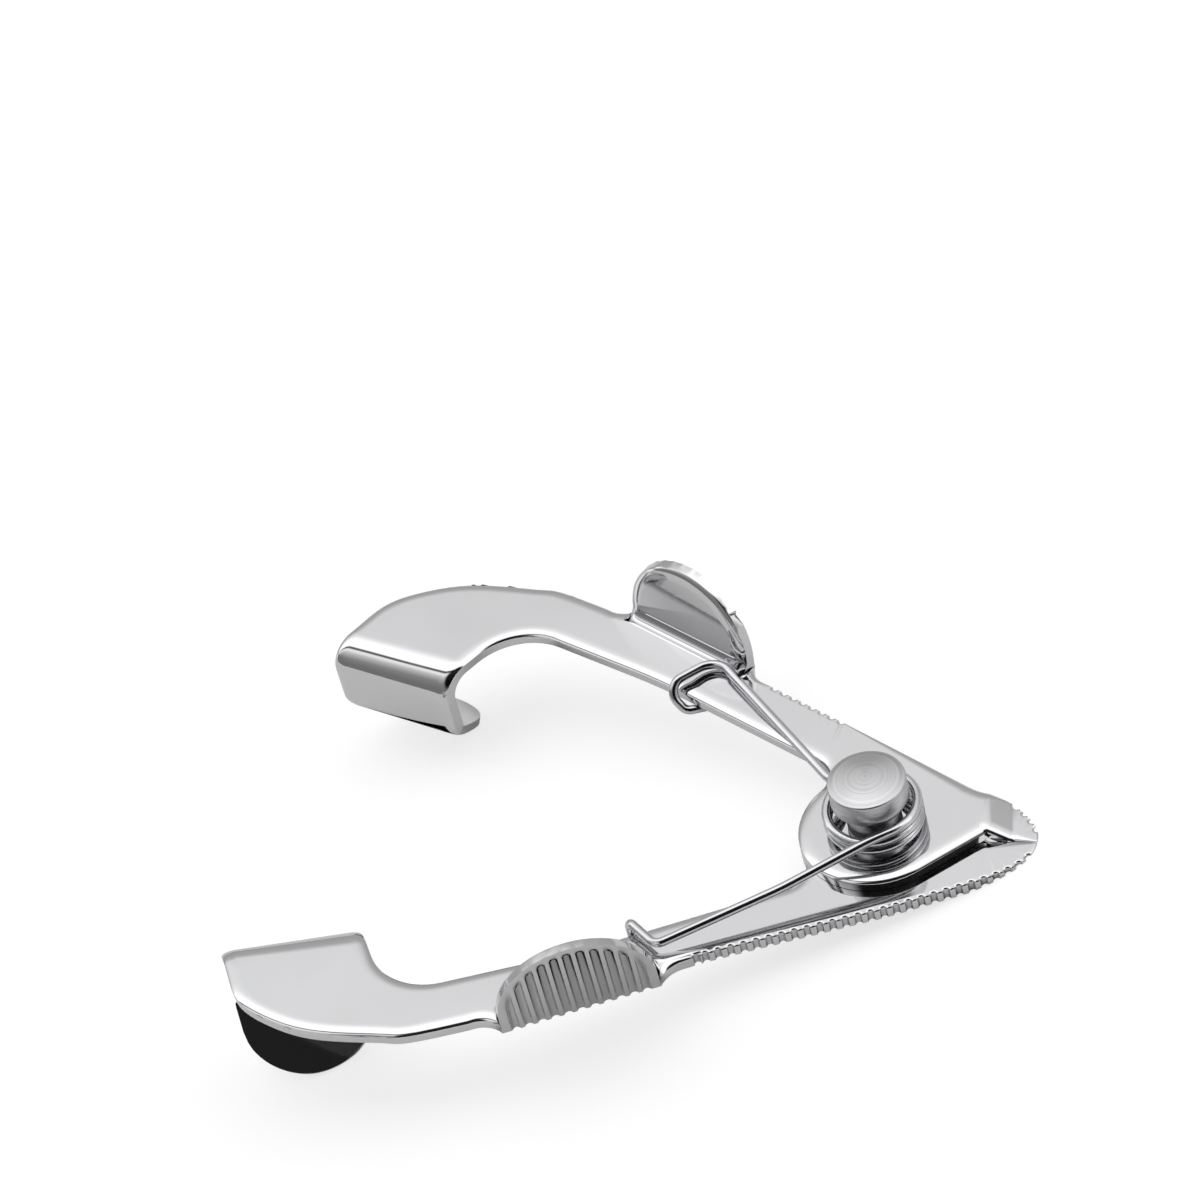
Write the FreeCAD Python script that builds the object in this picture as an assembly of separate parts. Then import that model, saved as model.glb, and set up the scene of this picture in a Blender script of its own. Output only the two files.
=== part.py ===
"""Spring-loaded eye speculum with solid lid blades, in millimetres.

Two polished steel arms turn on one riveted pin. A torsion spring coiled round the pin holds them
open, and squeezing the two fluted thumb tabs brings the blades together.
+Z is the pivot axis, the blades point to -X and the tails to +X. The origin is the flat end of
the rivet under the lower arm. The arms are drawn wide open, with their tails on the stop.
"""
import FreeCAD, Part
import math
import os

V = FreeCAD.Vector

# Sheet and pivot
SHEET = 1.2                 # thickness of both arms
ARM_GAP = 0.05              # running clearance between the two arms
PIN_GAP = 0.05              # radial clearance of the arms on the pin
SEAT_GAP = 0.03             # play along the pin, above and below the pair of arms
BOSS_R = 7.35               # round pivot boss of each arm
TENON_R = 1.6               # the part of the pin that passes through the arms
STEM_R = 2.6                # the shouldered part of the pin inside the coil
STEM_H = 3.45               # shoulder to underside of the head
HEAD_R = 3.7
HEAD_H = 2.95
HEAD_DOME = 0.3             # rise of the turned top
HEAD_EDGE = 0.2             # rounding under the dome and below the head
WASHER_R = 3.4
WASHER_T = 0.5
RIVET_R = 2.3               # closed end of the rivet
RIVET_H = 0.45
RIVET_EDGE = 0.2

# Arm outline, drawn with the arm's own length along x and its outer side towards +y
OPEN_ANGLE = 27.3           # from each arm to the centre line when wide open
OUTER_Y = 8.4               # outer edge behind the tab
UPPER_HEEL_Y = 8.4          # outer edge beside the pivot, upper arm
LOWER_HEEL_Y = 9.5          # the lower arm is wider there
WIDEN_X = 18.5              # the outer edge moves from the one to the other between these
HEEL_X = 1.5
WIDEN_R = 40.0
INNER_Y = 3.3               # straight inner edge
BOSS_BLEND_R = 2.5          # inner edge into the pivot boss
TAPER_X = 29.9              # the inner edge starts to fall here
TAPER_ANGLE = 5.5
TAPER_R = 80.0
CUT_R = 6.33                # round cut-out behind the blade
CUT_LEAN = 4.0              # from square, of the blade's rear edge that follows it
TIP_X = 61.5                # the outer side of the blade passes through these points
TIP_Y = -3.0
CHEEK_X = 59.3
CHEEK_Y = 0.3
BROW_X = 55.7
BROW_Y = 3.45
SHOULDER_X = 49.3
SHOULDER_Y = 6.55
NECK_X = 41.5               # it ends here, ahead of the tab
NECK_Y = 8.05
NECK_SLOPE = 5.0
TAIL_X = -4.5               # the outer edge swells from here and then turns in to the tail's tip
SWELL_X = -8.6
SWELL_Y = 9.4
TAIL_CURVE_X = -11.9
TAIL_CURVE_Y = 8.55
TAIL_TIP = 15.2             # distance behind the pivot, along the stop face
TAIL_ROOT = 10.5
TAIL_ROOT_R = 0.7
STOP_GAP = 0.03             # between the tails when wide open
STEP_X = 10.6               # the upper tail steps down to the lower arm's level from here
STEP_LEAN = 7.5             # its crease is not quite square to the centre line
STEP_RUN = 2.2
STEP_R = 0.9

# Lid blade
BLADE_X = 48.8              # rear end of the fold line
BLADE_Y = -8.73
BLADE_L = 13.7
BLADE_TURN = 10.8           # the fold line leaves the arm's direction by this angle
BEND_R = 3.25               # outside radius of the fold
WALL_DEPTH = 8.0            # plate top to the corner between wall and lid plate
CURL_R = 2.3                # outside radius of that corner
LID_SLOPE = 35.0            # lid plate below the horizontal
LID_START = 0.3             # from that corner to where the lid plate's rounding starts
LID_REACH = 8.0             # and from there to its outermost point

# Thumb tab
TAB_X = 31.0                # middle of the tab along the arm
TAB_W = 15.1
TAB_H = 8.5                 # above the arm's top face
TAB_T = 1.25
TAB_LEAN = 7.5              # leans outwards
TAB_Y = 9.6                 # outer face at the underside of the arm
TAB_BLEND_R = 1.3           # inner face into the arm
TAB_FLARE = 2.6             # length of the flare between the outer edge and the tab
FLUTES = 11
FLUTE_PITCH = 1.25
FLUTE_R = 0.45
FLUTE_DEPTH = 0.3

# Notched outer edge
NOTCH_PITCH = 1.2
NOTCH_R = 0.34
NOTCH_DEPTH = 0.3
NOTCH_X = 19.6              # first notch behind the tab
LOWER_NOTCHES = 28
UPPER_NOTCHES = 8
UPPER_TAIL_NOTCHES = 4

# Torsion spring
WIRE_R = 0.45
WIRE_GAP = 0.08             # between the wire and what it lies on or hooks over
COIL_R = 4.3                # mean radius of the coil
COIL_PITCH = 0.95
COIL_LOW = 90.0             # direction of the coil's lower end about the pivot
COIL_HIGH = 308.0           # direction of its upper end
COIL_TURNS = 2              # whole turns besides the part between these ends

# Levels along the pivot
WASHER_Z = RIVET_H
LOWER_Z = WASHER_Z + WASHER_T + SEAT_GAP
LOWER_TOP = LOWER_Z + SHEET
UPPER_TOP = LOWER_TOP + ARM_GAP + SHEET
STEP_DROP = SHEET + ARM_GAP
SHOULDER_Z = UPPER_TOP + SEAT_GAP
HEAD_Z = SHOULDER_Z + STEM_H
COIL_Z = UPPER_TOP + WIRE_R + WIRE_GAP

UP = V(0, 0, 1)


def polar(radius, degrees, z=0.0):
    a = math.radians(degrees)
    return V(radius * math.cos(a), radius * math.sin(a), z)


def rounded_edges(points):
    """Straight runs through open (point, radius) corners, each rounded by a tangent arc."""
    edges = []
    at = points[0][0]
    for (before, _), (point, radius), (after, _) in zip(points, points[1:], points[2:]):
        to_before = (before - point).normalize()
        to_after = (after - point).normalize()
        if (to_before + to_after).Length < 1e-6:
            continue
        half = to_before.getAngle(to_after) / 2
        middle = (to_before + to_after).normalize()
        centre = point + middle * (radius / math.sin(half))
        first = point + to_before * (radius / math.tan(half))
        last = point + to_after * (radius / math.tan(half))
        if at.distanceToPoint(first) > 1e-6:
            edges.append(Part.makeLine(at, first))
        if radius > 0:
            edges.append(Part.Arc(first, centre - middle * radius, last).toShape())
        at = last
    if at.distanceToPoint(points[-1][0]) > 1e-6:
        edges.append(Part.makeLine(at, points[-1][0]))
    return edges


def closed_face(edges):
    return Part.Face(Part.Wire(Part.__sortEdges__(edges)))


def polygon_face(points):
    return Part.Face(Part.makePolygon(points + points[:1]))


def meet(p, along_p, q, along_q):
    """Where two lines in the plan cross."""
    cross = along_p.x * along_q.y - along_p.y * along_q.x
    t = ((q.x - p.x) * along_q.y - (q.y - p.y) * along_q.x) / cross
    return p + along_p * t


def from_open(x, y):
    """A plan point of the wide-open instrument, outer side towards +y, in the arm's own frame."""
    a = math.radians(OPEN_ANGLE)
    return V(-x * math.cos(a) + y * math.sin(a), x * math.sin(a) + y * math.cos(a), 0)


FOLD = polar(1, -BLADE_TURN)            # along the fold, towards the tip
OUTWARD = polar(1, 90 - BLADE_TURN)     # across the fold, towards the outer side
FOLD_REAR = V(BLADE_X, BLADE_Y, 0)


def inner_side():
    """Inner edge from the pivot, round the cut-out, and past the fold so as to trim the bend too."""
    taper = V(TAPER_X, INNER_Y, 0)
    rear_edge = polar(1, 90 + CUT_LEAN)
    cut = meet(taper, polar(1, -TAPER_ANGLE), FOLD_REAR, rear_edge)
    rear = FOLD_REAR - rear_edge
    return rounded_edges([
        (V(0, 0, 0), 0),
        (V(0, INNER_Y, 0), 0),
        (taper, TAPER_R),
        (cut, CUT_R),
        (rear, 0),
        (FOLD_REAR + FOLD * BLADE_L - rear_edge, 0),
        (FOLD_REAR + FOLD * BLADE_L + rear_edge * BEND_R, 0),
    ])


def tip_side():
    """The rounded outer side of the blade, from the front end of its fold to the straight edge."""
    rear_edge = polar(1, 90 + CUT_LEAN)
    front = FOLD_REAR + FOLD * BLADE_L + rear_edge * BEND_R
    curve = Part.BSplineCurve()
    curve.interpolate(
        [front, V(TIP_X, TIP_Y, 0), V(CHEEK_X, CHEEK_Y, 0), V(BROW_X, BROW_Y, 0),
         V(SHOULDER_X, SHOULDER_Y, 0), V(NECK_X, NECK_Y, 0)],
        InitialTangent=rear_edge, FinalTangent=polar(1, 180 - NECK_SLOPE))
    return curve.toShape()


def outer_edge(first, heel_y):
    """The outer edge from behind the tab to the start of the tail."""
    return rounded_edges([
        (V(first, OUTER_Y, 0), 0),
        (V(WIDEN_X, OUTER_Y, 0), WIDEN_R),
        (V(HEEL_X, heel_y, 0), WIDEN_R),
        (V(TAIL_X, heel_y, 0), 0),
    ])


def tail_curve(heel_y):
    """The swelling outer side of the tail, ending square to the stop face."""
    curve = Part.BSplineCurve()
    curve.interpolate(
        [V(TAIL_X, heel_y, 0), V(SWELL_X, SWELL_Y, 0), V(TAIL_CURVE_X, TAIL_CURVE_Y, 0),
         from_open(TAIL_TIP, STOP_GAP / 2)],
        InitialTangent=V(-1, 0, 0), FinalTangent=from_open(0, 0) - from_open(0, 1))
    return curve.toShape()


def tail_side(heel_y):
    """The outer edge from the blade to the tail's tip, and the stop face back to the boss."""
    root = from_open(TAIL_ROOT, STOP_GAP / 2)
    boss_turn = math.degrees(math.atan2(root.y, root.x) + math.acos(BOSS_R / root.Length))
    back = rounded_edges([
        (from_open(TAIL_TIP, STOP_GAP / 2), 0),
        (root, TAIL_ROOT_R),
        (polar(BOSS_R, boss_turn), 0),
        (V(0, 0, 0), 0),
    ])
    beside_tab = Part.makeLine(V(NECK_X, NECK_Y, 0), V(TAB_X - TAB_W / 2, OUTER_Y, 0))
    behind_tab = outer_edge(TAB_X - TAB_W / 2, heel_y)
    return [beside_tab] + behind_tab + [tail_curve(heel_y)] + back


def outline(low, high, heel_y):
    """The arm's plan as a prism, still without the pivot boss."""
    face = closed_face(inner_side() + [tip_side()] + tail_side(heel_y))
    face.translate(V(0, 0, low))
    return face.extrude(V(0, 0, high - low))


def flat_arm(low, high, heel_y):
    """The arm's flat plan between two levels, with its pivot boss, up to the fold."""
    corner = FOLD_REAR - FOLD * BLADE_L + UP * low
    folded = polygon_face([corner + OUTWARD * BEND_R, corner - OUTWARD * BEND_R,
                           corner - OUTWARD * BEND_R + FOLD * 3 * BLADE_L,
                           corner + OUTWARD * BEND_R + FOLD * 3 * BLADE_L])
    plate = outline(low, high, heel_y).cut(folded.extrude(UP * (high - low)))
    boss = Part.makeCylinder(BOSS_R, high - low, V(0, 0, low))
    plate = plate.fuse(boss).removeSplitter()
    corner = V(math.sqrt(BOSS_R ** 2 - INNER_Y ** 2), INNER_Y, 0)
    blend = [e for e in plate.Edges
             if abs(e.Vertexes[0].X - corner.x) < 1e-3 and abs(e.Vertexes[-1].X - corner.x) < 1e-3
             and abs(e.Vertexes[0].Y - corner.y) < 1e-3 and abs(e.Length - (high - low)) < 1e-3]
    return plate.makeFillet(BOSS_BLEND_R, blend)


def stepped_sheet():
    """A wide sheet that drops by one level behind the tail's step line."""
    behind = V(-80, 0, 0)
    rise = V(0, 0, -STEP_DROP)
    top = rounded_edges([
        (V(0, 0, 0) - behind, 0),
        (V(0, 0, 0), STEP_R),
        (V(-STEP_RUN, 0, 0) + rise, STEP_R),
        (behind + rise, 0),
    ])
    wire = Part.Wire(top)
    under = wire.copy()
    under.translate(V(0, 0, -SHEET))
    ends = [Part.makeLine(wire.Vertexes[i].Point, wire.Vertexes[i].Point - UP * SHEET)
            for i in (0, -1)]
    face = closed_face(wire.Edges + under.Edges + ends)
    face.translate(V(0, -60, 0))
    sheet = face.extrude(V(0, 120, 0))
    sheet.rotate(V(0, 0, 0), UP, -OPEN_ANGLE - STEP_LEAN)
    sheet.translate(from_open(STEP_X, 0))
    return sheet


def half_ellipse(start, end, reach):
    """Half an ellipse from one point to another, bulging by the given vector."""
    middle = (start + end) / 2
    across = (end - start) / 2
    if reach.Length > across.Length:
        curve = Part.Ellipse(middle + reach, middle + across, middle)
    else:
        curve = Part.Ellipse(middle + across, middle + reach, middle)
    first = curve.parameter(start)
    last = curve.parameter(end)
    arc = Part.ArcOfEllipse(curve, first, last)
    if (arc.value((arc.FirstParameter + arc.LastParameter) / 2) - middle).dot(reach) < 0:
        arc = Part.ArcOfEllipse(curve, last, first)
    return arc.toShape()


def blade_hook():
    """Wall and half-round lid plate, folded down from the arm's inner edge."""
    slope = math.radians(LID_SLOPE)
    away = OUTWARD * math.cos(slope) - UP * math.sin(slope)
    normal = OUTWARD * math.sin(slope) + UP * math.cos(slope)
    corner = FOLD_REAR - UP * WALL_DEPTH
    reach = LID_START + LID_REACH + 1
    inner_corner = FOLD_REAR + OUTWARD * SHEET
    inner_corner -= UP * (WALL_DEPTH + SHEET * (math.tan(slope) - 1 / math.cos(slope)))
    outside = rounded_edges([
        (FOLD_REAR + OUTWARD * BEND_R, 0),
        (FOLD_REAR, BEND_R),
        (corner, CURL_R),
        (corner + away * reach, 0),
    ])
    inside = rounded_edges([
        (FOLD_REAR + OUTWARD * BEND_R - UP * SHEET, 0),
        (FOLD_REAR + OUTWARD * SHEET - UP * SHEET, BEND_R - SHEET),
        (inner_corner, CURL_R - SHEET),
        (corner + away * reach + normal * SHEET, 0),
    ])
    ends = [
        Part.makeLine(FOLD_REAR + OUTWARD * BEND_R, FOLD_REAR + OUTWARD * BEND_R - UP * SHEET),
        Part.makeLine(corner + away * reach, corner + away * reach + normal * SHEET),
    ]
    section = closed_face(outside + inside + ends)
    section.translate(-FOLD)
    hook = section.extrude(FOLD * (BLADE_L + 2))
    rear = corner + away * LID_START - normal * 5
    front = rear + FOLD * BLADE_L
    half_round = closed_face([
        half_ellipse(rear, front, away * LID_REACH),
        Part.makeLine(front, front + FOLD * 2),
        Part.makeLine(front + FOLD * 2, front + FOLD * 2 - away * 20),
        Part.makeLine(front + FOLD * 2 - away * 20, rear - FOLD * 2 - away * 20),
        Part.makeLine(rear - FOLD * 2 - away * 20, rear - FOLD * 2),
        Part.makeLine(rear - FOLD * 2, rear),
    ]).extrude(normal * 30)
    return hook.common(half_round).common(outline(-20, 1, OUTER_Y))


def thumb_tab():
    """Upright half-round tab on the outer edge, with flutes on its outer face."""
    lean = math.tan(math.radians(TAB_LEAN))
    rear = TAB_X - TAB_W / 2
    full = TAB_H + SHEET
    thick = TAB_T / math.cos(math.radians(TAB_LEAN))
    foot = V(rear, TAB_Y, -SHEET)
    top = foot + V(0, lean * full, full)
    inner_top = top - V(0, thick, 0)
    inner_foot = V(rear, TAB_Y + lean * SHEET - thick, 0)
    web = V(rear, inner_foot.y - 2 * TAB_BLEND_R, 0)
    profile = rounded_edges([(inner_top, 0), (inner_foot, TAB_BLEND_R), (web, 0)])
    profile += [
        Part.makeLine(web, web - UP * SHEET),
        Part.makeLine(web - UP * SHEET, foot),
        Part.makeLine(foot, top),
        Part.makeLine(top, inner_top),
    ]
    tab = closed_face(profile).extrude(V(TAB_W, 0, 0))
    spring_line = TAB_H - TAB_W / 2
    left = V(rear, 0, spring_line)
    outline = closed_face([
        Part.makeLine(left - UP * (spring_line + SHEET), left),
        Part.Arc(left, V(TAB_X, 0, TAB_H), left + V(TAB_W, 0, 0)).toShape(),
        Part.makeLine(left + V(TAB_W, 0, 0), left + V(TAB_W, 0, -spring_line - SHEET)),
        Part.makeLine(left + V(TAB_W, 0, -spring_line - SHEET), left - UP * (spring_line + SHEET)),
    ]).extrude(V(0, 30, 0))
    return tab.common(outline)


def tab_flares():
    """The outer edge widens to the tab at both of its ends."""
    flares = []
    for side, edge_y in ((-1, OUTER_Y), (1, NECK_Y)):
        end = TAB_X + side * TAB_W / 2
        start = V(end + side * TAB_FLARE, edge_y, -SHEET)
        middle = V(end + side * TAB_FLARE * 0.42, edge_y + (TAB_Y - edge_y) * 0.25, -SHEET)
        corner = V(end, TAB_Y, -SHEET)
        edge = Part.Arc(start, middle, corner).toShape()
        inside = V(end, edge_y - 1, -SHEET)
        outside = V(start.x, edge_y - 1, -SHEET)
        face = closed_face([edge, Part.makeLine(corner, inside), Part.makeLine(inside, outside),
                            Part.makeLine(outside, start)])
        flares.append(face.extrude(UP * SHEET))
    return flares


def flute_cutters():
    lean = math.radians(TAB_LEAN)
    along = V(0, math.sin(lean), math.cos(lean))
    across = V(0, math.cos(lean), -math.sin(lean))
    cutters = []
    for i in range(FLUTES):
        x = TAB_X + (i - (FLUTES - 1) / 2) * FLUTE_PITCH
        base = V(x, TAB_Y, -SHEET) + across * (FLUTE_R - FLUTE_DEPTH) - along * 2
        cutters.append(Part.makeCylinder(FLUTE_R, TAB_H + SHEET + 4, base, along))
    return cutters


def notch_cutters(first, count, heel_y):
    """Round notches at an even pitch along the outer side, counted from behind the tab."""
    path = outer_edge(NOTCH_X, heel_y) + [tail_curve(heel_y)]
    depth = 2 * (SHEET + STEP_DROP)
    cutters = []
    for i in range(first, first + count):
        distance = i * NOTCH_PITCH
        for edge in path[:-1]:
            if distance < edge.Length:
                break
            distance -= edge.Length
        else:
            edge = path[-1]
        at = edge.getParameterByLength(distance)
        outside = edge.tangentAt(at).cross(UP)
        centre = edge.valueAt(at) + outside * (NOTCH_R - NOTCH_DEPTH) - UP * depth
        cutters.append(Part.makeCylinder(NOTCH_R, depth + 1, centre))
    return cutters


def arm(stepped):
    """One arm in its own frame: top face at z = 0, blade at +x, outer side at +y."""
    if stepped:
        plate = flat_arm(-3 * SHEET, SHEET, UPPER_HEEL_Y).common(stepped_sheet())
        first = LOWER_NOTCHES - UPPER_TAIL_NOTCHES
        runs = notch_cutters(0, UPPER_NOTCHES, UPPER_HEEL_Y)
        runs += notch_cutters(first, UPPER_TAIL_NOTCHES, UPPER_HEEL_Y)
    else:
        plate = flat_arm(-SHEET, 0, LOWER_HEEL_Y)
        runs = notch_cutters(0, LOWER_NOTCHES, LOWER_HEEL_Y)
    body = plate.fuse([blade_hook(), thumb_tab()] + tab_flares()).removeSplitter()
    bore = Part.makeCylinder(TENON_R + PIN_GAP, 4 * SHEET, V(0, 0, -2 * SHEET))
    return body.cut(runs + flute_cutters() + [bore])


def upper_arm():
    shape = arm(True).mirror(V(0, 0, 0), V(1, 0, 0))
    shape.rotate(V(0, 0, 0), UP, -OPEN_ANGLE)
    shape.translate(UP * UPPER_TOP)
    return shape


def lower_arm():
    shape = arm(False)
    shape.rotate(V(0, 0, 0), UP, 180 + OPEN_ANGLE)
    shape.translate(UP * LOWER_TOP)
    return shape


def pivot_button():
    """Pin with a turned thumb-sized head, a shoulder and a tenon riveted over the washer."""
    top = HEAD_Z + HEAD_H
    rim = top - HEAD_DOME
    profile = rounded_edges([
        (V(0, 0, 0), 0),
        (V(RIVET_R, 0, 0), RIVET_EDGE),
        (V(RIVET_R, 0, RIVET_H), 0),
        (V(TENON_R, 0, RIVET_H), 0),
        (V(TENON_R, 0, SHOULDER_Z), 0),
        (V(STEM_R, 0, SHOULDER_Z), 0),
        (V(STEM_R, 0, HEAD_Z), 0),
        (V(HEAD_R, 0, HEAD_Z), HEAD_EDGE),
        (V(HEAD_R, 0, rim), 0),
    ])
    dome_r = (HEAD_R ** 2 + HEAD_DOME ** 2) / (2 * HEAD_DOME)
    half = math.degrees(math.asin(HEAD_R / dome_r)) / 2
    middle = V(0, 0, top - dome_r) + V(math.sin(math.radians(half)), 0,
                                       math.cos(math.radians(half))) * dome_r
    profile.append(Part.Arc(V(HEAD_R, 0, rim), middle, V(0, 0, top)).toShape())
    profile.append(Part.makeLine(V(0, 0, top), V(0, 0, 0)))
    return closed_face(profile).revolve(V(0, 0, 0), UP, 360)


def pivot_washer():
    washer = Part.makeCylinder(WASHER_R, WASHER_T, V(0, 0, WASHER_Z))
    return washer.cut(Part.makeCylinder(TENON_R + PIN_GAP / 2, WASHER_T, V(0, 0, WASHER_Z)))


def on_arm(x, y, z, side):
    """A point in an arm's own frame, placed as the arm on that side (-1 or 1) stands when open."""
    a = math.radians(OPEN_ANGLE)
    across = x * math.sin(a) + y * math.cos(a)
    return V(-x * math.cos(a) + y * math.sin(a), side * across, z)


def coil_end(degrees, z, run):
    """An end of the coil and the point a leg runs to along the wire's own direction there."""
    end = polar(COIL_R, degrees, z)
    rise = COIL_PITCH / (2 * math.pi * COIL_R)
    tangent = polar(1, degrees - 90) + UP * rise
    return end, end + tangent.normalize() * run


def torsion_spring():
    """Coil with two legs. Each leg crosses its arm and hooks over the arm's inner edge."""
    turns = COIL_TURNS + ((COIL_LOW - COIL_HIGH) % 360) / 360
    helix = Part.makeHelix(COIL_PITCH, turns * COIL_PITCH, COIL_R)
    helix = helix.mirror(V(0, 0, 0), V(0, 1, 0))
    helix.rotate(V(0, 0, 0), UP, COIL_LOW)
    helix.translate(UP * COIL_Z)
    high_end, high_run = coil_end(COIL_HIGH, COIL_Z + turns * COIL_PITCH, 2.0)
    low_end, low_run = coil_end(COIL_LOW, COIL_Z, -1.0)
    hook_y = INNER_Y - WIRE_GAP - WIRE_R
    lower_over = LOWER_TOP + 2.4 * WIRE_R
    lower_under = LOWER_Z - WIRE_R - WIRE_GAP
    front = rounded_edges([
        (high_end, 0),
        (high_run, 12.0),
        (on_arm(10.3, 5.7, (high_end.z + lower_over) / 2, -1), 30),
        (on_arm(22.9, 6.6, lower_over, -1), 1.2),
        (on_arm(24.6, hook_y, lower_over, -1), 0.8),
        (on_arm(24.6, hook_y, lower_under, -1), 0.7),
        (on_arm(24.0, hook_y + 2.2, lower_under, -1), 0),
    ])
    upper_over = UPPER_TOP + 2.0 * WIRE_R
    upper_under = UPPER_TOP - SHEET - WIRE_R - WIRE_GAP
    back = rounded_edges([
        (low_end, 0),
        (low_run, 15.0),
        (V(-5.1, COIL_R, COIL_Z), 2.5),
        (on_arm(26.4, 7.9, upper_over, 1), 2.2),
        (on_arm(28.4, hook_y - 0.7, upper_over, 1), 1.5),
        (on_arm(26.4, hook_y - 0.2, upper_under, 1), 1.0),
        (on_arm(24.6, hook_y + 1.8, upper_under, 1), 0),
    ])
    path = Part.Wire(Part.__sortEdges__(back + helix.Edges + front))
    end = back[-1].Vertexes[-1].Point
    along = (end - back[-1].Vertexes[0].Point).normalize()
    section = Part.Wire(Part.makeCircle(WIRE_R, end, along))
    return path.makePipeShell([section], True, False)


NODES = {
    "upper_arm": upper_arm,
    "lower_arm": lower_arm,
    "pivot_button": pivot_button,
    "pivot_washer": pivot_washer,
    "torsion_spring": torsion_spring,
}

os.makedirs("parts", exist_ok=True)
for name, make in NODES.items():
    shape = make()
    shape.exportStep("parts/" + name + ".step")
    print(name, "valid", shape.isValid(), "solids", len(shape.Solids), "volume", round(shape.Volume, 2))
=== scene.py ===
"""Looks of a polished eye speculum: two sheet arms, a turned pivot button and a coiled spring."""

import math

import bmesh
import bpy
from mathutils import Matrix, Vector
from mathutils.kdtree import KDTree


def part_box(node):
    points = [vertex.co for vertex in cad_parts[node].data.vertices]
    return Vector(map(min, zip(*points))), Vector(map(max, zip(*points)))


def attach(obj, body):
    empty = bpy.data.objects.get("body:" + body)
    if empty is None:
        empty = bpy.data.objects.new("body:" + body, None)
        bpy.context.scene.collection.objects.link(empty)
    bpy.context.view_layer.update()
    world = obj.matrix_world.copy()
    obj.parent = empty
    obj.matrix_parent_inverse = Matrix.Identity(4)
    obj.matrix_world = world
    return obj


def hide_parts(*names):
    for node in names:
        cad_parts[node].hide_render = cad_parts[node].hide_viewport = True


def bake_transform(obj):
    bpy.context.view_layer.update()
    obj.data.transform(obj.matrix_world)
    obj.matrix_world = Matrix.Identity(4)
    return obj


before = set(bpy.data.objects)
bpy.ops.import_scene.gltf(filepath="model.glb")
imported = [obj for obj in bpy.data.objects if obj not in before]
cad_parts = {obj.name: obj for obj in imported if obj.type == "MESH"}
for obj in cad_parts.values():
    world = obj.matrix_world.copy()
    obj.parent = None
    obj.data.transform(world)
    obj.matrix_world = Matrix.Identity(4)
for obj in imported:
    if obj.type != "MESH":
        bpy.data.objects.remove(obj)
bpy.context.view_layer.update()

MM = 0.001

# Camera, as fitted to the photograph in the part's own frame
EYE = Vector((107.8, -273.3, 314.0)) * MM
SIGHT = Vector((-0.312, 0.6605, -0.683)).normalized()
SIDEWAYS = Vector((0.949, 0.2506, -0.1913))
LENS = 137.9
SENSOR = 36.0
NEAR_CLIP = 0.01

# Floor, touching the lid blades and the edge of the rivet
FLOOR_RISE_X = 0.1774
FLOOR_RISE_Y = 0.026
FLOOR_LEVEL = -0.62 * MM
FLOOR_SIZE = 4.0
FLOOR_GREY = 0.35
FLOOR_GLOW = 0.74
FLOOR_MIRRORED = 0.88
FLOOR_ROUGHNESS = 0.9

# Studio: brightness of the room along the arc from behind the camera (-1), overhead (0), to the
# far wall (1), and the dark space round the camera, in degrees from the line of sight
ROOM = ((-1.0, 0.14), (-0.85, 0.2), (-0.55, 0.5), (-0.44, 0.75), (-0.35, 0.75), (-0.3, 0.1),
        (-0.2, 0.1), (-0.15, 1.0), (0.35, 1.0), (0.52, 0.72), (0.7, 0.6), (0.85, 0.36), (1.0, 0.3))
ROOM_LEVEL = 1.7
DARK_INNER = 31.0
DARK_OUTER = 44.0
DARK_LEVEL = 0.02

# Steel: the middle part of a noise, and the fineness of the tint and of the rubbing, per metre
NOISE_MIDDLE = (0.3, 0.7)
TINT_NOISE = (150.0, 3.0)
RUBBED_NOISE = (900.0, 5.0)

# Painted shade in grooves, corners and between the spring's turns: how far it reaches, how open they
# are and how dark it gets
HOLLOW_REACH = 0.5 * MM
HOLLOW_OPEN = (0.45, 0.9)
PAINTED_SHADE_TONE = 0.3
HOLLOW_SAMPLES = 8

# Painted shade on the underside of the plates
UNDERSIDE = -0.5
PLATE_FROM = -1.5 * MM
UNDERSIDE_SHADE = (0.07, 0.07, 0.07, 1)

# Fine marks of each finish: noise and depth
SHEET_WAVES = (70.0, 1.0)
SHEET_WAVE_DEPTH = 0.12 * MM
LATHE_RINGS = (2600.0, 0.0)
LATHE_RING_DEPTH = 0.012 * MM
LATHE_TONE = (5200.0, 1.0)
LATHE_TONE_RANGE = (0.8, 1.0)
LATHE_GRAIN = 0.8
WIRE_MARKS = (1500.0, 3.0)
WIRE_MARK_DEPTH = 0.001 * MM

# The arms' sizes
OPEN_ANGLE = 27.3
SHEET = 1.2 * MM
UPPER_TOP = 3.43 * MM
LOWER_TOP = 2.18 * MM
TAB_X = 31.0 * MM
TAB_W = 15.1 * MM
TAB_H = 8.5 * MM
TAB_Y = 9.6 * MM
TAB_LEAN = 7.5
FLUTE_DEPTH = 0.3 * MM
BLADE_X = 48.8 * MM
BLADE_Y = -8.73 * MM
BLADE_L = 13.7 * MM
BLADE_TURN = 10.8
WALL_DEPTH = 8.0 * MM
LID_SLOPE = 35.0
LID_START = 0.3 * MM
LID_REACH = 8.0 * MM

# Flutes: between these distances from the tab's rim they run out, and the rim's arc has these cuts
FLUTE_ENDS = (0.55 * MM, 1.2 * MM)
TAB_CUTS = 16

# Lid outline: the length of its straight sides, how soon they are full, the part of the lid that
# stays as it is, and the cuts in each long edge
LID_STRAIGHT = 1.6 * MM
LID_EASE = 2
LID_CORE = 0.9
LID_CUTS = 3
LONG_EDGE = 0.3 * MM

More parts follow.
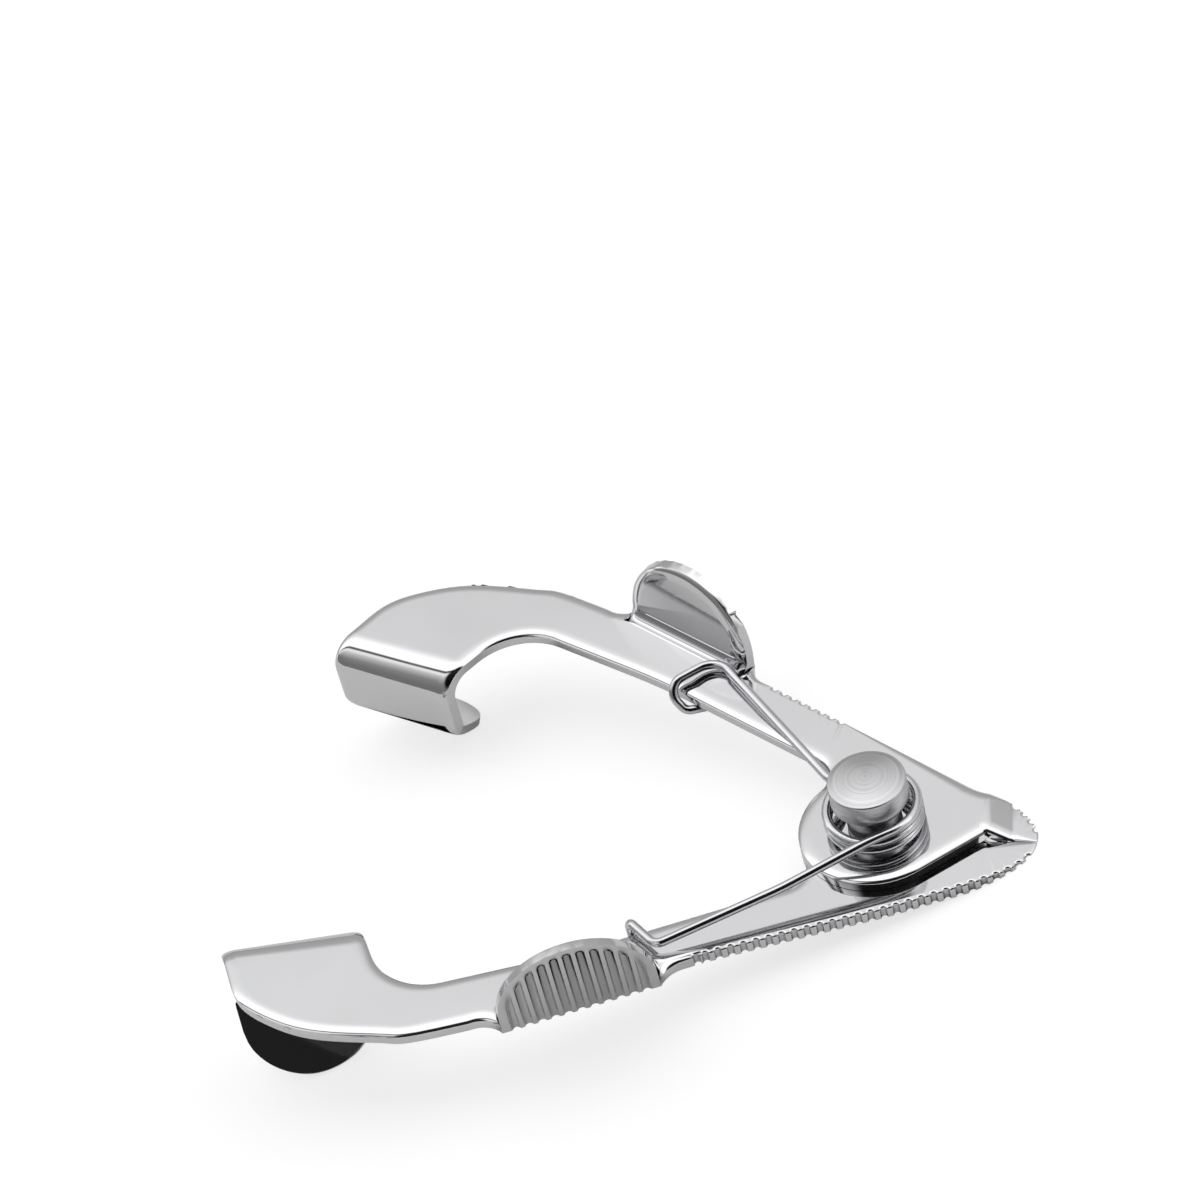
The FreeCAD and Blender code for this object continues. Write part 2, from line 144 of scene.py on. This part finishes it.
# How near points count as the same place, on the same face or on the same outline
MERGE = 0.01 * MM
SEAM = 0.0005 * MM
TINY = 0.0002 * MM
CUT_SLACK = 0.001 * MM
LEVEL_SLACK = 0.01 * MM
FLAT_SLACK = 0.02 * MM
RIM_SLACK = 0.05 * MM
FOOT_SLACK = 0.1 * MM
OUTLINE_SLACK = 0.01
FLAT_ANGLE = 0.3

# Rounding of the arms' polished side: its width across the sheet and its depth down the edge
RIM = (1.3 * MM, 0.45 * MM)
NOTCH_RIM = (0.24 * MM, 0.2 * MM)
NOTCH_REACH = 2.2 * MM
NOTCH_HOLD = 0.3
NOTCHES_FROM = -14.5 * MM
SMOOTHINGS = 6
RIM_STEPS = 6
SHARPEST = 0.5
FACING_UP = 0.9999
PLATE_AREA = 0.2 * MM * MM
SMOOTH_TURN = math.cos(math.radians(32))
CORNER_TURN = math.cos(math.radians(25))

# Creases, in degrees, and how much large faces outweigh small ones in the shading
SHEET_CREASE = 28
LATHE_CREASE = 40
WIRE_CREASE = 60
FLAT_WEIGHT = 60

# Pivot button, turned on a lathe: the sizes that its node's box doesn't give
TENON_R = 1.6 * MM
STEM_R = 2.6 * MM
RIVET_R = 2.3 * MM
RIVET_H = 0.45 * MM
SHOULDER_Z = 3.46 * MM
HEAD_H = 2.95 * MM
HEAD_DOME = 0.5 * MM
HEAD_EDGE = 0.2 * MM
DOME_SHARE = 0.9
DOME_STEPS = 10
CORNER_STEPS = 6
LATHE_STEPS = 160


def node(tree, kind, **values):
    made = tree.nodes.new(kind)
    for name, value in values.items():
        setattr(made, name, value)
    return made


def math_node(tree, operation, *values):
    made = node(tree, "ShaderNodeMath", operation=operation)
    for socket, value in zip(made.inputs, values):
        if isinstance(value, (int, float)):
            socket.default_value = value
        else:
            tree.links.new(value, socket)
    return made.outputs["Value"]


def separated(tree, vector):
    made = node(tree, "ShaderNodeSeparateXYZ")
    tree.links.new(vector, made.inputs["Vector"])
    return made.outputs


def ranged(tree, value, source, target, **values):
    """A value carried over from one range to another."""
    made = node(tree, "ShaderNodeMapRange", **values)
    made.inputs["From Min"].default_value = source[0]
    made.inputs["From Max"].default_value = source[1]
    made.inputs["To Min"].default_value = target[0]
    made.inputs["To Max"].default_value = target[1]
    tree.links.new(value, made.inputs["Value"])
    return made.outputs["Result"]


def noise(tree, place, fineness):
    scale, detail = fineness
    cloud = node(tree, "ShaderNodeTexNoise")
    cloud.inputs["Scale"].default_value = scale
    cloud.inputs["Detail"].default_value = detail
    tree.links.new(place, cloud.inputs["Vector"])
    return cloud.outputs["Fac"]


def multiplied(tree, colour, tone):
    made = node(tree, "ShaderNodeMix", data_type="RGBA", blend_type="MULTIPLY")
    made.inputs["Factor"].default_value = 1.0
    tree.links.new(colour, made.inputs["A"])
    tree.links.new(tone, made.inputs["B"])
    return made.outputs["Result"]


def mixed(tree, share, first, second):
    """One colour or the other: the second is plain, and the first may be a socket."""
    made = node(tree, "ShaderNodeMix", data_type="RGBA")
    tree.links.new(share, made.inputs["Factor"])
    if isinstance(first, tuple):
        made.inputs["A"].default_value = first
    else:
        tree.links.new(first, made.inputs["A"])
    made.inputs["B"].default_value = second
    return made.outputs["Result"]


def steel(name, colour, dull, roughness):
    """Steel with a slightly uneven tint and painted shade in its hollows; returns its tree, shader
    and the piece's own coordinates.
    """
    material = bpy.data.materials.new(name)
    material.use_nodes = True
    tree = material.node_tree
    shader = tree.nodes["Principled BSDF"]
    shader.inputs["Metallic"].default_value = 1.0
    place = node(tree, "ShaderNodeTexCoord").outputs["Object"]
    tint = node(tree, "ShaderNodeValToRGB")
    shades = (tuple(part * dull for part in colour), colour)
    for step, position, shade in zip(tint.color_ramp.elements, NOISE_MIDDLE, shades):
        step.position = position
        step.color = (*shade, 1)
    tree.links.new(noise(tree, place, TINT_NOISE), tint.inputs["Fac"])
    # painted shade: the base colour darkens where the piece's own surface closes round a point
    hollow = node(tree, "ShaderNodeAmbientOcclusion", samples=HOLLOW_SAMPLES, only_local=True)
    hollow.inputs["Distance"].default_value = HOLLOW_REACH
    painted_shade = ranged(tree, hollow.outputs["AO"], HOLLOW_OPEN, (PAINTED_SHADE_TONE, 1.0))
    tree.links.new(multiplied(tree, tint.outputs["Color"], painted_shade), shader.inputs["Base Color"])
    rubbed = ranged(tree, noise(tree, place, RUBBED_NOISE), NOISE_MIDDLE, roughness)
    tree.links.new(rubbed, shader.inputs["Roughness"])
    return material, tree, shader, place


def relief(tree, shader, height, depth):
    """Fine marks of a given depth."""
    bump = node(tree, "ShaderNodeBump")
    bump.inputs["Strength"].default_value = 1.0
    bump.inputs["Distance"].default_value = depth
    tree.links.new(height, bump.inputs["Height"])
    tree.links.new(bump.outputs["Normal"], shader.inputs["Normal"])


def painted_underside_shade(tree, shader, place):
    """Paints shade on the side of the plates that lies towards the table."""
    facing = node(tree, "ShaderNodeNewGeometry").outputs["Normal"]
    under = math_node(tree, "LESS_THAN", separated(tree, facing)["Z"], UNDERSIDE)
    plate = math_node(tree, "GREATER_THAN", separated(tree, place)["Z"], PLATE_FROM)
    polished = shader.inputs["Base Color"].links[0].from_socket
    # painted shade: downward faces of the plate take a near-black colour
    shaded_underside = mixed(tree, math_node(tree, "MULTIPLY", under, plate), polished, UNDERSIDE_SHADE)
    tree.links.new(shaded_underside, shader.inputs["Base Color"])


def polished_sheet():
    """Mirror-polished sheet with very shallow waves, and painted shade in its hollows and on its
    underside.
    """
    colour = (0.62, 0.62, 0.63)
    material, tree, shader, place = steel("polished sheet steel", colour, 0.97, (0.05, 0.09))
    painted_underside_shade(tree, shader, place)
    relief(tree, shader, noise(tree, place, SHEET_WAVES), SHEET_WAVE_DEPTH)
    return material


def turned_steel():
    """Satin steel with the fine rings that a lathe leaves, on the flat and round the side."""
    colour = (0.60, 0.60, 0.61)
    material, tree, shader, place = steel("turned steel", colour, 0.93, (0.27, 0.29))
    shader.inputs["Anisotropic"].default_value = LATHE_GRAIN
    round_about = node(tree, "ShaderNodeTangent", direction_type="RADIAL", axis="Z")
    tree.links.new(round_about.outputs["Tangent"], shader.inputs["Tangent"])
    split = separated(tree, place)
    square_x = math_node(tree, "MULTIPLY", split["X"], split["X"])
    square_y = math_node(tree, "MULTIPLY", split["Y"], split["Y"])
    radius = math_node(tree, "SQRT", math_node(tree, "ADD", square_x, square_y))
    across = node(tree, "ShaderNodeCombineXYZ")
    tree.links.new(radius, across.inputs["X"])
    tree.links.new(split["Z"], across.inputs["Y"])
    relief(tree, shader, noise(tree, across.outputs["Vector"], LATHE_RINGS), LATHE_RING_DEPTH)
    lines = noise(tree, across.outputs["Vector"], LATHE_TONE)
    tone = ranged(tree, lines, NOISE_MIDDLE, LATHE_TONE_RANGE)
    plain = shader.inputs["Base Color"].links[0].from_socket
    tree.links.new(multiplied(tree, plain, tone), shader.inputs["Base Color"])
    return material


def drawn_wire():
    """Bright wire with fine marks."""
    colour = (0.58, 0.58, 0.60)
    material, tree, shader, place = steel("drawn spring wire", colour, 0.9, (0.08, 0.16))
    relief(tree, shader, noise(tree, place, WIRE_MARKS), WIRE_MARK_DEPTH)
    return material


def merged(cad_node, change=None):
    """A merged copy of a CAD node's mesh, changed by a function where one is given."""
    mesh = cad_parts[cad_node].data.copy()
    mesh.materials.clear()
    shape = bmesh.new()
    shape.from_mesh(mesh)
    bmesh.ops.remove_doubles(shape, verts=shape.verts, dist=MERGE)
    bmesh.ops.recalc_face_normals(shape, faces=shape.faces)
    if change:
        change(shape)
        bmesh.ops.dissolve_limit(shape, angle_limit=math.radians(FLAT_ANGLE), verts=[],
                                 edges=shape.edges)
    shape.to_mesh(mesh)
    shape.free()
    return mesh


def as_piece(name, mesh, crease):
    """A smooth-shaded piece, with creases where its faces turn sharply."""
    mesh.shade_smooth()
    mesh.set_sharp_from_angle(angle=math.radians(crease))
    piece = bpy.data.objects.new(name, mesh)
    bpy.context.scene.collection.objects.link(piece)
    return piece


def arm_ways(side):
    """The directions along an arm and outwards from it."""
    turn = math.radians(OPEN_ANGLE)
    along = Vector((-math.cos(turn), side * math.sin(turn), 0))
    out = Vector((math.sin(turn), side * math.cos(turn), 0))
    return along, out


def in_arm(point, side, top):
    """A point in an arm's own frame: along it, outwards from its middle and above its top."""
    turn = math.radians(OPEN_ANGLE)
    y = point.y * side
    return Vector((y * math.sin(turn) - point.x * math.cos(turn),
                   y * math.cos(turn) + point.x * math.sin(turn), point.z - top))


def tab_place(point, side, top):
    """How deep a point lies in the tab's outer face, and how far it is from the tab's rim."""
    own = in_arm(point, side, top)
    lean = math.radians(TAB_LEAN)
    depth = (TAB_Y - own.y) * math.cos(lean) + (own.z + SHEET) * math.sin(lean)
    along = own.x - TAB_X
    rise = max(own.z - TAB_H + TAB_W / 2, 0)
    return depth, TAB_W / 2 - math.hypot(along, rise)


def smooth_tab_rim(shape, side, top):
    """Lets the flutes run out before the rim of the thumb tab."""
    def fluted(vertex):
        depth, rim = tab_place(vertex.co, side, top)
        own = in_arm(vertex.co, side, top)
        on_face = -FLAT_SLACK < depth < FLUTE_DEPTH + FLAT_SLACK
        return on_face and rim > -RIM_SLACK and own.z > -SHEET - FOOT_SLACK

    def outer_faces():
        return [face for face in shape.faces if all(fluted(v) for v in face.verts)]

    along, out = arm_ways(side)
    centre = along * TAB_X + out * TAB_Y + Vector((0, 0, top + TAB_H - TAB_W / 2))
    for inset in FLUTE_ENDS:
        for step in range(TAB_CUTS + 1):
            angle = math.pi * step / TAB_CUTS
            way = along * math.cos(angle) + Vector((0, 0, math.sin(angle)))
            faces = outer_faces()
            parts = {part for face in faces for part in (*face.verts, *face.edges)}
            bmesh.ops.bisect_plane(shape, geom=faces + list(parts), dist=CUT_SLACK,
                                   plane_co=centre + way * (TAB_W / 2 - inset), plane_no=way)
    lean = math.radians(TAB_LEAN)
    across = out * math.cos(lean) - Vector((0, 0, math.sin(lean)))
    for vertex in {v for face in outer_faces() for v in face.verts}:
        depth, rim = tab_place(vertex.co, side, top)
        share = min(max((rim - FLUTE_ENDS[0]) / (FLUTE_ENDS[-1] - FLUTE_ENDS[0]), 0), 1)
        vertex.co += across * depth * (1 - share)


def round_lid(shape, side, top):
    """Turns the lid blade's outline into straight sides and a half circle."""
    along, out = arm_ways(side)
    fold_turn = math.radians(BLADE_TURN)
    fold = along * math.cos(fold_turn) - out * math.sin(fold_turn)
    past_fold = along * math.sin(fold_turn) + out * math.cos(fold_turn)
    slope = math.radians(LID_SLOPE)
    away = past_fold * math.cos(slope) - Vector((0, 0, math.sin(slope)))
    normal = past_fold * math.sin(slope) + Vector((0, 0, math.cos(slope)))
    fold_end = along * BLADE_X + out * BLADE_Y + Vector((0, 0, top - WALL_DEPTH))
    half = BLADE_L / 2
    middle = fold_end + fold * half

    def place(point):
        own = point - middle
        return own.dot(fold), own.dot(away) - LID_START, own.dot(normal)

    def in_sheet(height):
        return -RIM_SLACK < height < SHEET + RIM_SLACK

    def on_outline(vertex):
        across, reach, height = place(vertex.co)
        if not in_sheet(height) or not -FLAT_SLACK < reach:
            return False
        return abs(math.hypot(across / half, reach / LID_REACH) - 1) < OUTLINE_SLACK

    def runs_along(edge):
        step = edge.verts[0].co - edge.verts[1].co
        return edge.calc_length() > LONG_EDGE and abs(step.dot(normal)) < LEVEL_SLACK

    edges = [edge for edge in shape.edges if all(on_outline(v) for v in edge.verts)
             and runs_along(edge)]
    bmesh.ops.subdivide_edges(shape, edges=edges, cuts=LID_CUTS)
    for vertex in shape.verts:
        across, reach, height = place(vertex.co)
        if not in_sheet(height) or reach <= FLAT_SLACK or abs(across) >= half * (1 + OUTLINE_SLACK):
            continue
        if min(math.hypot(across / half, reach / LID_REACH), 1) < LID_CORE:
            continue
        angle = math.atan2(reach / LID_REACH, across / half)
        straight = LID_STRAIGHT * min(math.sin(angle) * LID_EASE, 1)
        wanted_across = half * math.cos(angle)
        wanted_reach = straight + half * math.sin(angle)
        vertex.co += fold * (wanted_across - across) + away * (wanted_reach - reach)


def improve(shape, side, top):
    smooth_tab_rim(shape, side, top)
    round_lid(shape, side, top)


def skin_of(mesh):
    """The polished outer side of an arm: its top face, and all that runs on from it smoothly."""
    beside = {}
    for face in mesh.polygons:
        for pair in face.edge_keys:
            beside.setdefault(pair, []).append(face.index)
    normals = [face.normal.copy() for face in mesh.polygons]
    level = max(mesh.vertices[v].co.z for face in mesh.polygons if face.normal.z > FACING_UP
                and face.area > PLATE_AREA for v in face.vertices)
    found = [face.index for face in mesh.polygons if face.normal.z > FACING_UP
             and abs(mesh.vertices[face.vertices[0]].co.z - level) < LEVEL_SLACK]
    skin = set(found)
    while found:
        here = found.pop()
        for pair in mesh.polygons[here].edge_keys:
            for other in beside[pair]:
                if other not in skin and normals[other].dot(normals[here]) > SMOOTH_TURN:
                    skin.add(other)
                    found.append(other)
    rim = []
    for face in skin:
        corners = list(mesh.polygons[face].vertices)
        for a, b in zip(corners, corners[1:] + corners[:1]):
            if sum(other in skin for other in beside[min(a, b), max(a, b)]) == 1:
                rim.append((a, b, face))
    return skin, rim


def rim_ways(mesh, rim):
    """At each point of the rim: the ways into the skin, the way up from it, the ways along it."""
    inward = {}
    upward = {}
    ends = {}
    for a, b, face in rim:
        start = mesh.vertices[a].co
        end = mesh.vertices[b].co
        normal = mesh.polygons[face].normal.copy()
        side = normal.cross(end - start).normalized()
        for v, other in ((a, end - start), (b, start - end)):
            inward.setdefault(v, []).append(side)
            upward[v] = upward.get(v, Vector()) + normal
            ends.setdefault(v, []).append(other.normalized())
    return inward, {v: way.normalized() for v, way in upward.items()}, ends


def notch_corners(mesh, ends):
    """The places where the rim turns sharply, in the notched part of an arm."""
    return [mesh.vertices[v].co for v, ways in ends.items()
            if mesh.vertices[v].co.x > NOTCHES_FROM and len(ways) == 2
            and ways[0].dot(ways[1]) > -CORNER_TURN]


def slopes_into_skin(mesh, rim, inward, ends):
    """The rounding's direction at each point of the rim, evened out where the rim runs gently."""
    slopes = {v: (sides[0] + sides[-1]) / max(1 + sides[0].dot(sides[-1]), SHARPEST)
              for v, sides in inward.items()}
    beside = {v: [] for v in inward}
    for a, b, _ in rim:
        beside[a].append(b)
        beside[b].append(a)
    gentle = [v for v, ways in ends.items() if len(ways) == 2
              and ways[0].dot(ways[1]) < -CORNER_TURN and mesh.vertices[v].co.x < NOTCHES_FROM]
    for _ in range(SMOOTHINGS):
        evened = {}
        for v in gentle:
            sides = sum((slopes[other] for other in beside[v]), Vector())
            evened[v] = (slopes[v] + sides).normalized()
        slopes.update(evened)
    return slopes


def lay_rings(points, slopes, upward, corners):
    """Adds the rounding's rings of points to the list, finer near the notches."""
    rings = {}
    for v, slope in slopes.items():
        at = points[v].copy()
        near = min((at - place).length for place in corners)
        share = min(max(near / NOTCH_REACH - NOTCH_HOLD, 0), 1)
        wide, deep = (fine + (full - fine) * share for fine, full in zip(NOTCH_RIM, RIM))
        up = upward[v]
        rings[v] = [v]
        points[v] = at - up * deep
        for step in range(1, RIM_STEPS + 1):
            turn = math.pi / 2 * step / RIM_STEPS
            rings[v].append(len(points))
            inwards = slope * wide * (1 - math.cos(turn))
            points.append(at + inwards - up * deep * (1 - math.sin(turn)))
    return rings


def lower_wall(mesh, points, skin, rings, upward):
    """Keeps the points of the sheet's edge below the rounding."""
    nearest = KDTree(len(rings))
    for v in rings:
        nearest.insert(mesh.vertices[v].co, v)
    nearest.balance()
    skin_points = {v for face in skin for v in mesh.polygons[face].vertices}
    for v in range(len(mesh.vertices)):
        if v in skin_points:
            continue
        _, other, away = nearest.find(points[v])
        above = (points[v] - points[other]).dot(upward[other])
        if away < RIM[1] and above > 0:
            points[v] = points[v] - upward[other] * above


def closed_mesh(name, points, faces):
    """A mesh without doubles, its faces outwards and the many-sided ones cut into triangles."""
    mesh = bpy.data.meshes.new(name)
    mesh.from_pydata([tuple(point) for point in points], [], faces)
    shape = bmesh.new()
    shape.from_mesh(mesh)
    bmesh.ops.triangulate(shape, faces=[face for face in shape.faces if len(face.verts) > 4])
    bmesh.ops.remove_doubles(shape, verts=shape.verts, dist=TINY)
    bmesh.ops.recalc_face_normals(shape, faces=shape.faces)
    shape.to_mesh(mesh)
    shape.free()
    return mesh


def rounded_rim(mesh):
    """The arm's mesh with a rounding along the edge of its outer side, finer at the notches."""
    skin, rim = skin_of(mesh)
    inward, upward, ends = rim_ways(mesh, rim)
    slopes = slopes_into_skin(mesh, rim, inward, ends)
    points = [v.co.copy() for v in mesh.vertices]
    rings = lay_rings(points, slopes, upward, notch_corners(mesh, ends))
    lower_wall(mesh, points, skin, rings, upward)
    faces = [[rings[v][-1] if face.index in skin and v in rings else v for v in face.vertices]
             for face in mesh.polygons]
    for a, b, _ in rim:
        for step in range(RIM_STEPS):
            faces.append([rings[a][step], rings[b][step], rings[b][step + 1], rings[a][step + 1]])
    return closed_mesh(mesh.name, points, faces)


def level_faces(piece):
    """Large faces decide the shading beside small ones, so that flats stay flat."""
    flatten = piece.modifiers.new("level faces", "WEIGHTED_NORMAL")
    flatten.keep_sharp = True
    flatten.weight = FLAT_WEIGHT


def rounded_corner(radius, height, edge, lower):
    """Points of a rounded outer corner of a turned profile, from below or to the top."""
    start = -90 if lower else 0
    turn = [math.radians(start + 90 * step / CORNER_STEPS) for step in range(CORNER_STEPS + 1)]
    centre = height + edge if lower else height - edge
    return [(radius - edge + edge * math.cos(a), centre + edge * math.sin(a)) for a in turn]


def turned(name, profile):
    """A closed solid turned round the pivot axis from (radius, height) points."""
    shape = bmesh.new()
    line = [shape.verts.new((radius, 0, height)) for radius, height in profile]
    edges = [shape.edges.new(pair) for pair in zip(line, line[1:])]
    bmesh.ops.spin(shape, geom=line + edges, cent=(0, 0, 0), axis=(0, 0, 1), dvec=(0, 0, 0),
                   angle=2 * math.pi, steps=LATHE_STEPS, use_duplicate=False)
    bmesh.ops.remove_doubles(shape, verts=shape.verts, dist=SEAM)
    bmesh.ops.recalc_face_normals(shape, faces=shape.faces)
    mesh = bpy.data.meshes.new(name)
    shape.to_mesh(mesh)
    shape.free()
    return as_piece(name, mesh, LATHE_CREASE)


def arms(finish):
    for name, side, top in (("upper_arm", 1, UPPER_TOP), ("lower_arm", -1, LOWER_TOP)):
        mesh = merged(name, lambda shape: improve(shape, side, top))
        sheet = as_piece(name + "_sheet", rounded_rim(mesh), SHEET_CREASE)
        level_faces(sheet)
        sheet.data.materials.append(finish)
        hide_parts(name)
        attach(sheet, name)


def button(finish):
    low, high = (Vector(place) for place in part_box("pivot_button"))
    head_r = (high.x - low.x) / 2
    head_z = high.z - HEAD_H
    rim = high.z - HEAD_DOME
    shares = [DOME_SHARE * (1 - step / DOME_STEPS) for step in range(DOME_STEPS + 1)]
    profile = [(0, low.z)] + rounded_corner(RIVET_R, low.z, HEAD_EDGE, True)
    profile += [(RIVET_R, RIVET_H), (TENON_R, RIVET_H), (TENON_R, SHOULDER_Z), (STEM_R, SHOULDER_Z)]
    profile += [(STEM_R, head_z)] + rounded_corner(head_r, head_z, HEAD_EDGE, True)
    profile += rounded_corner(head_r, rim, HEAD_EDGE, False)
    profile += [(head_r * share, rim + HEAD_DOME * (1 - share ** 2)) for share in shares]
    piece = turned("turned_button", profile)
    piece.data.materials.append(finish)
    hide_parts("pivot_button")
    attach(piece, "lower_arm")


def washer(finish):
    piece = as_piece("rivet_washer", merged("pivot_washer"), SHEET_CREASE)
    piece.data.materials.append(finish)
    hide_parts("pivot_washer")
    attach(piece, "lower_arm")


def spring(finish):
    wire = as_piece("spring_wire", merged("torsion_spring"), WIRE_CREASE)
    wire.data.materials.append(finish)
    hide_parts("torsion_spring")
    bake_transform(wire)


def camera():
    view = bpy.data.cameras.new("photograph")
    view.lens = LENS
    view.sensor_width = SENSOR
    view.clip_start = NEAR_CLIP
    eye = bpy.data.objects.new("photograph", view)
    upwards = SIDEWAYS.cross(SIGHT).normalized()
    level = SIGHT.cross(upwards).normalized()
    turn = Matrix((level, upwards, -SIGHT)).transposed()
    eye.matrix_world = Matrix.Translation(EYE) @ turn.to_4x4()
    bpy.context.scene.collection.objects.link(eye)
    bpy.context.scene.camera = eye


def grey(level):
    return (level, level, level, 1)


def floor():
    """A table whose grey takes the soft shadow, and whose glow makes it white to the camera."""
    mesh = bpy.data.meshes.new("floor")
    half = FLOOR_SIZE / 2
    corners = [(-half, -half), (half, -half), (half, half), (-half, half)]
    mesh.from_pydata(
        [(x, y, FLOOR_LEVEL + FLOOR_RISE_X * x + FLOOR_RISE_Y * y) for x, y in corners],
        [], [(0, 1, 2, 3)])
    plate = bpy.data.objects.new("floor", mesh)
    bpy.context.scene.collection.objects.link(plate)
    material = bpy.data.materials.new("white table")
    material.use_nodes = True
    tree = material.node_tree
    shader = tree.nodes["Principled BSDF"]
    shader.inputs["Roughness"].default_value = FLOOR_ROUGHNESS
    shader.inputs["Specular IOR Level"].default_value = 0.0
    shader.inputs["Emission Color"].default_value = (1, 1, 1, 1)
    ray = node(tree, "ShaderNodeLightPath").outputs
    glow = math_node(tree, "MULTIPLY", ray["Is Camera Ray"], FLOOR_GLOW)
    tree.links.new(glow, shader.inputs["Emission Strength"])
    mirrored = math_node(tree, "MAXIMUM", ray["Is Glossy Ray"], ray["Is Transmission Ray"])
    shade = mixed(tree, mirrored, grey(FLOOR_GREY), grey(FLOOR_MIRRORED))
    tree.links.new(shade, shader.inputs["Base Color"])
    mesh.materials.append(material)


def studio():
    """Soft light panels overhead, a pale far wall, and the dark space round the camera."""
    world = bpy.data.worlds.new("studio")
    bpy.context.scene.world = world
    world.use_nodes = True
    tree = world.node_tree
    light = tree.nodes["Background"]
    towards = node(tree, "ShaderNodeTexCoord").outputs["Generated"]
    # the dark space round the camera
    facing = node(tree, "ShaderNodeVectorMath", operation="DOT_PRODUCT")
    facing.inputs[1].default_value = tuple(-SIGHT)
    tree.links.new(towards, facing.inputs[0])
    edges = [math.cos(math.radians(angle)) for angle in (DARK_OUTER, DARK_INNER)]
    dark = ranged(tree, facing.outputs["Value"], edges, (1.0, DARK_LEVEL),
                  interpolation_type="SMOOTHSTEP")
    # the arc of panels and walls from front to back
    flat = node(tree, "ShaderNodeVectorMath", operation="MULTIPLY")
    flat.inputs[1].default_value = (0, 1, 1)
    tree.links.new(towards, flat.inputs[0])
    arc = node(tree, "ShaderNodeVectorMath", operation="NORMALIZE")
    tree.links.new(flat.outputs["Vector"], arc.inputs[0])
    forward = separated(tree, arc.outputs["Vector"])["Y"]
    room = node(tree, "ShaderNodeValToRGB")
    steps = room.color_ramp.elements
    for index, (place, level) in enumerate(ROOM):
        step = steps[index] if index < 2 else steps.new((place + 1) / 2)
        step.position = (place + 1) / 2
        step.color = grey(level)
    tree.links.new(math_node(tree, "MULTIPLY_ADD", forward, 0.5, 0.5), room.inputs["Fac"])
    lit = math_node(tree, "MULTIPLY", room.outputs["Color"], dark)
    # plain white where the camera itself looks past the table
    ray = node(tree, "ShaderNodeLightPath")
    white = node(tree, "ShaderNodeMix", data_type="FLOAT")
    tree.links.new(ray.outputs["Is Camera Ray"], white.inputs["Factor"])
    tree.links.new(math_node(tree, "MULTIPLY", lit, ROOM_LEVEL), white.inputs["A"])
    white.inputs["B"].default_value = 1.0
    tree.links.new(white.outputs["Result"], light.inputs["Strength"])
    light.inputs["Color"].default_value = (1, 1, 1, 1)
    bpy.context.scene.view_settings.view_transform = "Standard"


camera()
floor()
studio()
arms(polished_sheet())
button(turned_steel())
washer(polished_sheet())
spring(drawn_wire())
